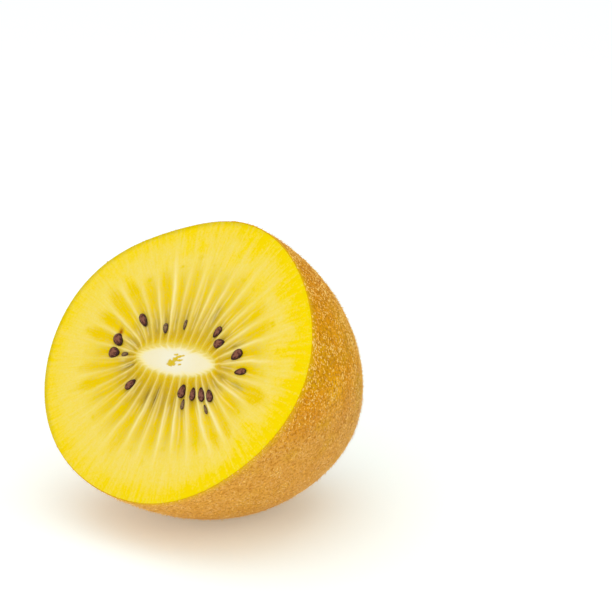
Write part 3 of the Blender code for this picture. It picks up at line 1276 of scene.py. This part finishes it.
@dataclass
class PeelShell:
    """The peel: a thin shell over the rounded side, with the scar at its end."""

    segments: int = 300
    rings: int = 200
    thickness: float = 0.22
    edge_snap: float = 0.02
    low_ripples: float = 150.0
    gold_ripples: float = 190.0

    def build(self) -> Piece:
        """Cuts a sphere in two and shapes its lower half as the fruit's side.

        Returns:
            The peel, still without a thickness.
        """
        deselect_everything()
        bpy.ops.mesh.primitive_uv_sphere_add(segments=self.segments, ring_count=self.rings, radius=1.0)
        shell = bpy.context.object
        shell.name = "peel"
        bpy.ops.object.mode_set(mode="EDIT")
        bpy.ops.mesh.select_all(action="SELECT")
        middle, up = (0.0, 0.0, 0.0), (0.0, 0.0, 1.0)
        bpy.ops.mesh.bisect(plane_co=middle, plane_no=up, clear_outer=True, threshold=1e-4)
        bpy.ops.object.mode_set(mode="OBJECT")

        ball = read_points(shell.data)
        angle = np.arctan2(ball[:, 1], ball[:, 0])
        waist = np.clip(np.hypot(ball[:, 0], ball[:, 1]), 0.0, 1.0)
        body = FORM.body_point(angle, waist ** (2.0 / FORM.girth_power))
        radius = np.hypot(body[:, 0], body[:, 1])
        body[:, 2] += FORM.scar_relief(angle, radius)
        body[:, 2] = np.where(body[:, 2] > -self.edge_snap, 0.0, body[:, 2])
        laid = lay_down(body)
        write_points(shell.data, laid)
        write_masks(shell.data, self._masks(body, laid, radius))
        point_out(shell)
        bpy.ops.object.shade_smooth()
        return shell

    def thicken(self, shell: Piece) -> None:
        """Gives the peel its thickness, inwards.

        Args:
            shell: The peel.
        """
        pick(shell)
        wall = shell.modifiers.new("wall", "SOLIDIFY")
        wall.thickness = self.thickness * MM
        wall.offset = -1.0
        bpy.ops.object.modifier_apply(modifier=wall.name)
        bpy.ops.object.shade_smooth_by_angle(angle=CRISP_ANGLE)

    def _masks(self, body: Array, laid: Array, radius: Array) -> Masks:
        """Where the peel is low down, fuzzy and painted paler by light bounced from the floor, golden, close
        to the cut, or corky.

        Args:
            body: The peel's points in the fruit's own frame.
            laid: The same points where the half lies.
            radius: Their distance from the fruit's axis.

        Returns:
            The masks by name.
        """
        height = laid[:, 2] / MM
        uneven = 3.0 * ripple(*(laid.T * self.low_ripples))
        golden = smooth_step(ripple(*(laid.T * self.gold_ripples), 5.0), 0.0, 0.45)
        return {
            # Painted light: low on the fruit the peel is painted paler and tanner, partly for thicker fuzz,
            # partly for the floor's bounced light
            "low": 1.0 - smooth_step(height + uneven, 18.0, 32.0),
            "gold": golden * (0.25 + 0.75 * bell(height - 27.0, 9.0)),
            "edge": 1.0 - smooth_step(-body[:, 2], 0.0, 1.6),
            "cork": (1.0 - smooth_step(radius, 3.5, 5.6)) * (body[:, 2] < -0.8 * FORM.half_length),
        }


@dataclass
class StemStub:
    """The dry stub in the middle of the scar: a low lumpy ring round a hollow."""

    columns: int = 48
    rows: int = 40
    radii: tuple = (0.0, 0.5, 0.9, 1.25, 1.5, 1.65, 1.7, 1.2, 0.0)
    heights: tuple = (0.35, 0.40, 0.70, 1.05, 0.95, 0.50, 0.0, -0.3, -0.3)
    lumps: tuple = ((5, 0.12, 0.0), (9, 0.08, 1.0))

    def place(self, around: Array, along: Array) -> tuple[Array, Masks]:
        """The stub's points, from the middle of its hollow over the ring and back underneath.

        Args:
            around: Share of the way round.
            along: Share of the way from the hollow's middle to the underside's.

        Returns:
            Rows of x, y and z in metres, and no masks.
        """
        marks = np.linspace(0.0, 1.0, len(self.radii))
        angle = 2.0 * math.pi * around
        lumpy = 1.0 + sum(size * np.cos(times * angle + turn) for times, size, turn in self.lumps)
        radius = np.interp(along, marks, self.radii) * lumpy
        x, y = radius * np.cos(angle), radius * np.sin(angle)
        height = np.interp(along, marks, self.heights)
        height += 0.15 * ripple(x * 1.6, y * 1.6, along * 2.0) * smooth_step(radius, 0.0, 0.4)
        z = -FORM.half_length + FORM.scar_depth - height
        return lay_down(np.stack((x, y, z), axis=-1)), {}

    def build(self) -> Piece:
        """Rolls up the stub and returns it."""
        return roll_up("stem_stub", self.columns, self.rows, self.place)


def off_the_ground(places: Array) -> Array:
    """Rises from 0 where the fruit rests to 1 a little higher up."""
    return smooth_step(places[:, 2] / MM, 0.3, 1.5)


def fleck_density(places: Array) -> Array:
    """Where the flecks stand: in loose groups, and few low down.

    Args:
        places: Rows of x, y and z in metres.

    Returns:
        Each place's share of the full density.
    """
    groups = ripple(*(places.T * 300.0), 3.0)
    high = 0.10 + 0.80 * smooth_step(places[:, 2] / MM, 20.0, 33.0)
    return off_the_ground(places) * high * np.clip(0.8 + 1.1 * groups, 0.15, 1.5)


def stub_density(places: Array) -> Array:
    """Where the fine stubs stand: close together low down, and few high up."""
    return off_the_ground(places) * (1.05 - smooth_step(places[:, 2] / MM, 20.0, 34.0))


@dataclass
class Growth:
    """One kind of small growth, copied over the peel.

    Its lengths, widths and heights are drawn between two sizes in millimetres, and its density gives each
    place's share of the full density.
    """

    name: str
    sides: int
    number: int
    length: tuple[float, float]
    width: tuple[float, float]
    height: tuple[float, float]
    lean: float
    draw_seed: int
    density: Callable[[Array], Array]
    root: float = 0.04
    turn_spread: float = 0.6

    def grow(self, ground: Piece) -> Piece:
        """Lays the copies over the ground, all in one mesh.

        Args:
            ground: The peel that they grow from.

        Returns:
            The growth.
        """
        draw = np.random.default_rng(self.draw_seed)
        spots, normals = self._spots(ground.data, draw)
        shape, faces = self._shape()
        down = np.array((0.0, 0.0, -1.0))
        along = down - normals * (normals @ down)[:, None]
        along /= np.linalg.norm(along, axis=1)[:, None] + 1e-9
        across = np.cross(normals, along)
        turn = draw.normal(0.0, self.turn_spread, len(spots))[:, None]
        first = along * np.cos(turn) + across * np.sin(turn)
        second = np.cross(normals, first)
        length = 0.5 * draw.uniform(*self.length, len(spots))[:, None, None] * MM
        width = 0.5 * draw.uniform(*self.width, len(spots))[:, None, None] * MM
        height = draw.uniform(*self.height, len(spots))[:, None, None] * MM
        lift = shape[None, :, 2:3]
        slide = self.lean * height * lift ** 2
        points = (
            spots[:, None, :]
            + first[:, None, :] * (shape[None, :, 0:1] * length + slide)
            + second[:, None, :] * shape[None, :, 1:2] * width
            + normals[:, None, :] * (lift * height - self.root * MM)
        )
        points[..., 2] = np.maximum(points[..., 2], 0.0)
        firsts = range(0, len(shape) * len(spots), len(shape))
        all_faces = [tuple(corner + start for corner in face) for start in firsts for face in faces]
        mesh = bpy.data.meshes.new(self.name)
        mesh.from_pydata(points.reshape(-1, 3).tolist(), [], all_faces)
        mesh.update()
        return add_object(self.name, mesh)

    def _shape(self) -> tuple[Array, list[tuple[int, ...]]]:
        """Models the growth once, one unit across and high.

        Returns:
            Its points and its faces.
        """
        deselect_everything()
        sizes = {"radius1": 1.0, "radius2": 0.0, "depth": 1.0}
        bpy.ops.mesh.primitive_cone_add(vertices=self.sides, location=(0.0, 0.0, 0.5), **sizes)
        cone = bpy.context.object
        bpy.ops.object.transform_apply(location=True, rotation=False, scale=False)
        points = read_points(cone.data)
        faces = [tuple(polygon.vertices) for polygon in cone.data.polygons]
        bpy.data.objects.remove(cone, do_unlink=True)
        return points, faces

    def _spots(self, mesh: Mesh, draw: np.random.Generator) -> tuple[Array, Array]:
        """Draws the places of the copies, even over the ground's area where the density is full.

        Args:
            mesh: The ground's mesh.
            draw: The seeded generator.

        Returns:
            The places and the normals there.
        """
        triangle = self._triangles(mesh)
        cross = np.cross(triangle[:, 1] - triangle[:, 0], triangle[:, 2] - triangle[:, 0])
        area = np.linalg.norm(cross, axis=1)
        weight = area * self.density(triangle.mean(axis=1))
        chosen = draw.choice(len(area), self.number, p=weight / weight.sum())
        a, b = draw.random((2, self.number, 1))
        swap = a + b > 1.0
        a, b = np.where(swap, 1.0 - a, a), np.where(swap, 1.0 - b, b)
        corner = triangle[chosen]
        spots = corner[:, 0] + a * (corner[:, 1] - corner[:, 0]) + b * (corner[:, 2] - corner[:, 0])
        return spots, cross[chosen] / area[chosen][:, None]

    def _triangles(self, mesh: Mesh) -> Array:
        """Cuts the ground's faces into triangles, in the same order each run.

        A sphere's faces may come in another order each time, so they are sorted by their corners.

        Args:
            mesh: The ground's mesh.

        Returns:
            Three points a triangle.
        """
        faces = []
        for polygon in mesh.polygons:
            corners = list(polygon.vertices)
            first = corners.index(min(corners))
            faces.append(corners[first:] + corners[:first])
        fans = [(face[0], *face[step:step + 2]) for face in sorted(faces) for step in range(1, len(face) - 1)]
        return read_points(mesh)[np.array(fans)]


# The peel's growths with their finishes: pale flecks of rubbed fuzz, fine stubs of it, and thin dry hairs
GROWTHS = (
    (
        Growth("flecks", 6, 5600, (0.42, 0.74), (0.27, 0.40), (0.09, 0.18), 0.0, 11, fleck_density),
        DryGrowth("rubbed_fuzz_flecks", "#FCBC42", "#FFDE82"),
    ),
    (
        Growth("stubs", 4, 32000, (0.35, 0.75), (0.12, 0.20), (0.05, 0.10), 0.0, 17, stub_density),
        DryGrowth("rubbed_fuzz_stubs", "#E6AC54", "#FFDC98"),
    ),
    (
        Growth("bristles", 3, 15000, (0.05, 0.08), (0.05, 0.08), (0.20, 0.60), 0.7, 23, off_the_ground),
        DryGrowth("dry_peel_hair", "#DC9E34", "#F0C470"),
    ),
)


@dataclass
class Studio:
    """A white floor, soft light from all round and a camera at the photograph's angle.

    Places and sizes are in millimetres, angles in degrees. A lamp has its name, place, size and watts.
    """

    azimuth: float = 41.02
    elevation: float = 18.0
    lens: float = 191.37
    sensor: float = 36.0
    distance: float = 560.0
    target: tuple = (15.513, 5.177, 39.086)
    floor_size: float = 4000.0
    surround: float = 0.47
    lamps: tuple = (
        ("overhead", (-50.0, 100.0, 1200.0), 1500.0, 6.8),
        ("front", (420.0, -900.0, 640.0), 1400.0, 5.7),
    )

    def build(self) -> None:
        """Makes the floor, the lights and the camera."""
        self._floor()
        self._lights()
        self._camera()

    def _floor(self) -> None:
        """Lays out the paper that the fruit stands on, which is no part of it."""
        deselect_everything()
        bpy.ops.mesh.primitive_plane_add(size=self.floor_size * MM)
        floor = bpy.context.object
        floor.name = "floor"
        floor.data.materials.append(StudioPaper().make())

    def _lights(self) -> None:
        """Sets an even white surround and the two large soft lamps, both aimed at the fruit."""
        world = bpy.data.worlds.new("white_surround")
        world.use_nodes = True
        white = (1.0, 1.0, 1.0, 1.0)
        feed(world.node_tree.nodes["Background"], {"Color": white, "Strength": self.surround})
        bpy.context.scene.world = world
        for name, place, size, power in self.lamps:
            light = bpy.data.lights.new(name, "AREA")
            light.shape = "SQUARE"
            light.size = size * MM
            light.energy = power
            lamp = add_object(name, light)
            lamp.location = Vector(place) * MM
            lamp.rotation_euler = (-lamp.location).to_track_quat("-Z", "Y").to_euler()
        bpy.context.scene.view_settings.view_transform = "Standard"

    def _camera(self) -> None:
        """Sets up the camera at the photograph's angle and distance."""
        azimuth, elevation = math.radians(self.azimuth), math.radians(self.elevation)
        back = Vector((
            math.sin(azimuth) * math.cos(elevation),
            -math.cos(azimuth) * math.cos(elevation),
            math.sin(elevation),
        ))
        data = bpy.data.cameras.new("camera")
        data.lens = self.lens
        data.sensor_width = self.sensor
        data.clip_start, data.clip_end = 0.01, 20.0
        camera = add_object("camera", data)
        camera.location = Vector(self.target) * MM + back * self.distance * MM
        camera.rotation_euler = (-back).to_track_quat("-Z", "Y").to_euler()
        bpy.context.scene.camera = camera


def main() -> None:
    """Builds every piece of the half in order, then the studio."""
    logging.basicConfig(level=logging.INFO, format="%(name)s: %(message)s")
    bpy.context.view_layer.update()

    hand_over(Flesh().build(), CutFlesh().make())
    hand_over(Core().build(), PITH.make())
    cut_free, veiled = SeedCoat().make(), VEILED_COAT.make()
    for seed, made in zip(SEEDS, SeedSet().build()):
        hand_over(made, veiled if seed.veiled else cut_free)

    peel = PeelShell()
    shell = peel.build()
    grown = [growth.grow(shell) for growth, _ in GROWTHS]
    peel.thicken(shell)
    hand_over(shell, Peel().make())
    hand_over(StemStub().build(), STEM_WOOD.make())
    for made, (_, finish) in zip(grown, GROWTHS):
        hand_over(made, finish.make())

    Studio().build()


if __name__ == "__main__":
    main()
